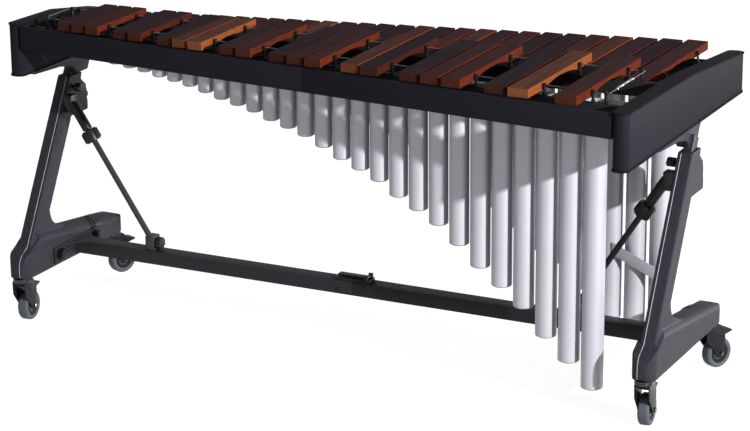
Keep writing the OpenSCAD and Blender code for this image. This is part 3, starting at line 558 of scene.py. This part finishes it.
# ---------------------------------------------------------------- lower frame
def cast_body(nodes, voxel, rounds):
    """One smooth cast skin round the solids of several nodes, as a finished mesh."""
    shape = bmesh.new()
    for node in nodes:
        shape.from_mesh(frame["nodes"][node].data)
    rough = bpy.data.meshes.new("rough")
    shape.to_mesh(rough)
    shape.free()
    holder = bpy.data.objects.new("rough", rough)
    bpy.context.scene.collection.objects.link(holder)
    skin = holder.modifiers.new("skin", "REMESH")
    skin.mode = "VOXEL"
    skin.voxel_size = voxel
    ease = holder.modifiers.new("ease", "SMOOTH")
    ease.factor = 0.5
    ease.iterations = rounds
    ready = holder.evaluated_get(bpy.context.evaluated_depsgraph_get())
    made = bmesh.new()
    made.from_mesh(ready.to_mesh())
    ready.to_mesh_clear()
    bpy.data.objects.remove(holder)
    bpy.data.meshes.remove(rough)
    return made


def surface(tree, start, way):
    """Where a straight line first meets a skin, or None."""
    return tree.ray_cast(Vector(start), Vector(way).normalized())[0]


LEG_VOXEL = 2.8 * MM
LEG_ROUNDS = 7
SEAM_STEPS = 59
SEAM_START = 6 * MM  # above the underside of the foot
SEAM_SHORTER = 10 * MM  # than the whole leg
SEAM_RADIUS = 0.9 * MM
SCREW_HEIGHTS = (0.187, 0.241, 0.36, 0.50)
SCREW_INSET = 22 * MM
STRAP_EDGES = (98 * MM, 128 * MM)  # behind the middle of the foot
STRAP_TURNS = range(-100, 1, 10)  # degrees from straight up, towards the inner side
STRAP_HEIGHT = 190 * MM
STRAP_LIFT = 2.6 * MM
STRAP_SINK = 0.6 * MM
RAY_START = 100 * MM


def leg_seam(side, skin, seam_x):
    """The light line between the two halves, down the front of the leg."""
    low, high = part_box(f"{side}_leg_outer_shell")
    route = []
    for i in range(SEAM_STEPS + 1):
        z = low[2] + SEAM_START + (high[2] - low[2] - SEAM_SHORTER) * i / SEAM_STEPS
        hit = surface(skin, (seam_x, low[1] - RAY_START, z), (0, 1, 0))
        if hit:
            route.append(hit)
    line = bmesh.new()
    sweep(line, route, SEAM_RADIUS, 6)
    finish_piece(f"{side}_leg_seam", line, "frame", [SEAM])


def leg_screws(side, sign, skin, seam_x):
    """Screw heads on the inner half, a little behind the front of the leg."""
    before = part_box(f"{side}_leg_outer_shell")[0][1] - RAY_START
    screws = bmesh.new()
    for z in SCREW_HEIGHTS:
        front = surface(skin, (seam_x, before, z), (0, 1, 0))
        inside = (seam_x - sign * 2 * RAY_START, front.y + SCREW_INSET, z) if front else None
        spot = surface(skin, inside, (sign, 0, 0)) if front else None
        if spot:
            place = axis_place(spot, (-sign, 0, 0))
            lathe(screws, [(0, 0.5 * MM), (2.0 * MM, 0.5 * MM), (3.6 * MM, 1.1 * MM), (4.2 * MM, 0.2 * MM),
                           (4.2 * MM, -1 * MM), (0, -1 * MM)], place, 20)
    finish_piece(f"{side}_leg_screws", screws, "frame", [PLASTIC])


def foot_strap(side, sign, skin):
    """The black strap over the foot, laid on the skin of the casting."""
    low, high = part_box(f"{side}_leg_outer_shell")
    inner_low, inner_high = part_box(f"{side}_leg_inner_shell")
    mid_y = (low[1] + high[1]) / 2
    centre = (inner_low[0] + high[0]) / 2 if sign > 0 else (low[0] + inner_high[0]) / 2
    strap, rings = bmesh.new(), []
    for turn in STRAP_TURNS:
        across = math.radians(turn)
        aim = Vector((sign * math.sin(across), 0, math.cos(across)))
        ring = []
        for behind in STRAP_EDGES:
            origin = Vector((centre, mid_y + behind, STRAP_HEIGHT))
            hit = surface(skin, origin + aim * RAY_START, -aim)
            if hit:
                ring += [hit - aim * STRAP_SINK, hit + aim * STRAP_LIFT]
        if len(ring) == 4:
            rings.append([strap.verts.new(v) for v in (ring[0], ring[1], ring[3], ring[2])])
    for one, two in zip(rings, rings[1:]):
        for k in range(4):
            strap.faces.new([one[k], one[(k + 1) % 4], two[(k + 1) % 4], two[k]])
    strap.faces.new(rings[0][::-1])
    strap.faces.new(rings[-1])
    soften(strap, 0.7 * MM, 2, 50)
    finish_piece(f"{side}_foot_strap", strap, "frame", [PLASTIC])


def leg(side, sign):
    """The two halves of a casting as one smooth skin, and the details that lie on it."""
    nodes = [f"{side}_leg_outer_shell", f"{side}_leg_inner_shell"]
    shape = cast_body(nodes, LEG_VOXEL, LEG_ROUNDS)
    skin = BVHTree.FromBMesh(shape)
    finish_piece(f"{side}_leg_casting", shape, "frame", [POWDER], 60, nodes)
    (low, high), (inner_low, inner_high) = (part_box(node) for node in nodes)
    seam_x = (low[0] + inner_high[0]) / 2 if sign > 0 else (high[0] + inner_low[0]) / 2
    leg_seam(side, skin, seam_x)
    leg_screws(side, sign, skin, seam_x)
    foot_strap(side, sign, skin)


def legs():
    for side, sign in SIDES:
        leg(side, sign)


def beam():
    for node in ("beam_low_half", "beam_high_half"):
        refine(node, BEAM, 1.2 * MM)
    refine("beam_coupling", BEAM, 0.8 * MM)
    refine("beam_latch", PLASTIC, 1.0 * MM)


def braces():
    for side, _ in SIDES:
        refine(f"{side}_brace_tube", BRACE, 1.0 * MM)
        refine(f"{side}_brace_rod", ROD, 1.0 * MM)
        refine(f"{side}_brace_collar", PLASTIC, 2.0 * MM, 3)
        refine(f"{side}_brace_knob", PLASTIC, 1.5 * MM, 3)
        refine(f"{side}_height_knob", PLASTIC, 1.5 * MM, 3)
        refine(f"{side}_clamp_knob", PLASTIC, 1.5 * MM, 3)
        for end in ENDS:
            refine(f"{side}_beam_knob_{end}", PLASTIC, 1.5 * MM, 3)


TYRE_DEPTH = 13 * MM
TYRE_HALF = 15 * MM
TYRE_EDGE = 7 * MM
AXLE_END = 20.2 * MM
NUT_RADIUS = 6.4 * MM
RING_HALF = 1.3 * MM
# Half profiles of (radius, height above the middle of the wheel)
HUB_HALF = ((4.06 * MM, 15.6 * MM), (9 * MM, 15.6 * MM), (11 * MM, 14.6 * MM), (13 * MM, 12.6 * MM),
            (19 * MM, 10.6 * MM), (24 * MM, 10.2 * MM), (27.4 * MM, 12.2 * MM))
GUARD_RING = ((19.5 * MM, 11.0 * MM), (20.5 * MM, 12.6 * MM), (26.6 * MM, 13.6 * MM),
              (27.8 * MM, 12.4 * MM), (27.8 * MM, 11.0 * MM))
CROWN_RINGS = ((3.6 * MM, 23.4 * MM), (8.2 * MM, 24.2 * MM))  # drop below the foot, radius


def both_ways(half):
    """A profile of (radius, height) with its mirror image below."""
    return [*half, *((r, -h) for r, h in reversed(half))]


def tyre(label, place, radius):
    """The grey tyre, with rounded edges."""
    half = [(radius - TYRE_DEPTH, 2 * MM - TYRE_HALF), (radius - 10 * MM, 0.5 * MM - TYRE_HALF)]
    half += [(radius - TYRE_EDGE + TYRE_EDGE * math.sin(math.radians(a)),
              TYRE_EDGE - TYRE_HALF - TYRE_EDGE * math.cos(math.radians(a))) for a in range(0, 91, 15)]
    shape = bmesh.new()
    lathe(shape, both_ways(half), place, 72, closed=True)
    finish_piece(f"tyre_{label}", shape, "wheel_" + label, [TYRE], 50,
                 ["caster_tyre_" + label])


def hub(label, place):
    """The dished hub, open for its axle, and the black guard ring on each side of it."""
    shape, guard = bmesh.new(), bmesh.new()
    lathe(shape, both_ways(HUB_HALF), place, 56, closed=True)
    finish_piece(f"hub_{label}", shape, "wheel_" + label, [HUB], 50, ["caster_hub_" + label])
    for way in (-1, 1):
        lathe(guard, [(r, way * h) for r, h in GUARD_RING], place, 56, closed=True)
    finish_piece(f"guard_{label}", guard, "wheel_" + label, [GUARD], 40)


def crown_rings(label, stem):
    """The two dark rings of the swivel's crown, just under the foot."""
    shape = bmesh.new()
    for drop, reach in CROWN_RINGS:
        half = [(reach - 3 * MM, RING_HALF), (reach - 0.4 * MM, RING_HALF), (reach, 0.7 * MM)]
        level = Matrix.Translation((stem[0], stem[1], FOOT_Z - drop))
        lathe(shape, [(r, -h) for r, h in half] + half[::-1], level, 48, closed=True)
    finish_piece(f"crown_rings_{label}", shape, "swivel_" + label, [RING], 30)


def axle_nuts(label, axle, axis):
    """A nut on each end of the axle."""
    shape = bmesh.new()
    for way in (-1, 1):
        end = axis_place(axle + axis * way * AXLE_END, axis * way)
        profile = [(0, 0), (NUT_RADIUS, 0), (NUT_RADIUS, 3.4 * MM), (NUT_RADIUS - 1 * MM, 4.4 * MM),
                   (0, 4.4 * MM)]
        lathe(shape, profile, end, 6)
    finish_piece(f"axle_nuts_{label}", shape, "swivel_" + label, [RING], 20)


def caster(label):
    """A swivel caster: fork and brake, tyre and hub, crown and axle."""
    spin = JOINTS[f"wheel_{label}_spin"]
    axle, axis = Vector(spin["pos_m"]), Vector(spin["axis"])
    place = axis_place(axle, axis)
    refine("caster_fork_" + label, FORK, 1.2 * MM, 3)
    refine("caster_brake_" + label, PLASTIC, 1.4 * MM, 3)
    tyre(label, place, axle.z)
    hub(label, place)
    crown_rings(label, JOINTS[f"swivel_{label}_turn"]["pos_m"])
    axle_nuts(label, axle, axis)


def casters():
    for label in WHEELS:
        caster(label)


# ---------------------------------------------------------------- stage
CAMERA_PLACE = (3.028, -5.945, 2.455)
CAMERA_AZIMUTH = 26.60
CAMERA_ELEVATION = 17.44
CAMERA_TILT = -0.44
CAMERA_LENS = 126.1


def camera():
    """The photograph's view: from the low end's front, a little above the desk."""
    azimuth, elevation, tilt = (math.radians(a) for a in (CAMERA_AZIMUTH, CAMERA_ELEVATION, CAMERA_TILT))
    ahead = Vector((-math.sin(azimuth) * math.cos(elevation),
                    math.cos(azimuth) * math.cos(elevation), -math.sin(elevation)))
    right = Vector((math.cos(azimuth), math.sin(azimuth), 0))
    up = right.cross(ahead)
    right, up = (right * math.cos(tilt) + up * math.sin(tilt), up * math.cos(tilt) - right * math.sin(tilt))
    turn = Matrix((right, up, -ahead)).transposed().to_4x4()
    data = bpy.data.cameras.new("camera")
    data.sensor_width = 36
    data.lens = CAMERA_LENS
    data.clip_end = 100
    made = bpy.data.objects.new("camera", data)
    made.matrix_world = Matrix.Translation(CAMERA_PLACE) @ turn
    bpy.context.scene.collection.objects.link(made)
    bpy.context.scene.camera = made


def area_light(name, place, aim, size, power):
    """A square lamp at a place, aimed at a point."""
    data = bpy.data.lights.new(name, "AREA")
    data.shape = "SQUARE"
    data.size = size
    data.energy = power
    made = bpy.data.objects.new(name, data)
    made.matrix_world = axis_place(Vector(place), Vector(place) - Vector(aim))
    bpy.context.scene.collection.objects.link(made)


FLOOR_REACH = 30
FLOOR_DEPTH = 0.02
FLOOR_TONES = (grey(0.15), grey(0.17))
FLOOR_GLOW = 0.90
HORIZON = grey(0.28)
ZENITH = grey(1.0)
KEY = {"place": (7.26, -2.95, 3.07), "aim": (0.2, -0.1, 0.6), "size": 0.18, "power": 1700}
REAR_FILL = {"place": (4.6, 5.2, 0.9), "aim": (0, 0, 0.6), "size": 1.6, "power": 260}


def floor():
    """A wide floor that glows, so that it is pale without throwing much light on the object."""
    shape = bmesh.new()
    block(shape, (-FLOOR_REACH, -FLOOR_REACH, -FLOOR_DEPTH), (FLOOR_REACH, FLOOR_REACH, 0))
    mesh = bpy.data.meshes.new("floor")
    shape.to_mesh(mesh)
    shape.free()
    made, tree, shader, coords = start_material("pale_floor")
    tree.links.new(mix(tree, noise(tree, coords, 3, 3), *FLOOR_TONES), shader.inputs["Base Color"])
    shader.inputs["Roughness"].default_value = 0.9
    shader.inputs["Specular IOR Level"].default_value = 0.02
    shader.inputs["Emission Color"].default_value = (1, 1, 1, 1)
    shader.inputs["Emission Strength"].default_value = FLOOR_GLOW
    mesh.materials.append(made)
    piece = bpy.data.objects.new("floor", mesh)
    bpy.context.scene.collection.objects.link(piece)


def sky():
    """Soft light from all round, dim at the horizon and bright overhead."""
    world = bpy.data.worlds.new("studio")
    bpy.context.scene.world = world
    world.use_nodes = True
    tree = world.node_tree
    background = tree.nodes["Background"]
    split = tree.nodes.new("ShaderNodeSeparateXYZ")
    tree.links.new(tree.nodes.new("ShaderNodeTexCoord").outputs["Generated"], split.inputs["Vector"])
    tree.links.new(ramp(tree, split.outputs["Z"], [(0.0, HORIZON), (1.0, ZENITH)]),
                   background.inputs["Color"])
    background.inputs["Strength"].default_value = 1.0


def stage():
    floor()
    sky()
    area_light("key", **KEY)
    area_light("rear_fill", **REAR_FILL)
    bpy.context.scene.view_settings.view_transform = "Standard"


bars()
cords()
cord_posts()
cord_spring()
tubes()
tube_caps()
tube_strips()
desk()
legs()
beam()
braces()
casters()
camera()
stage()
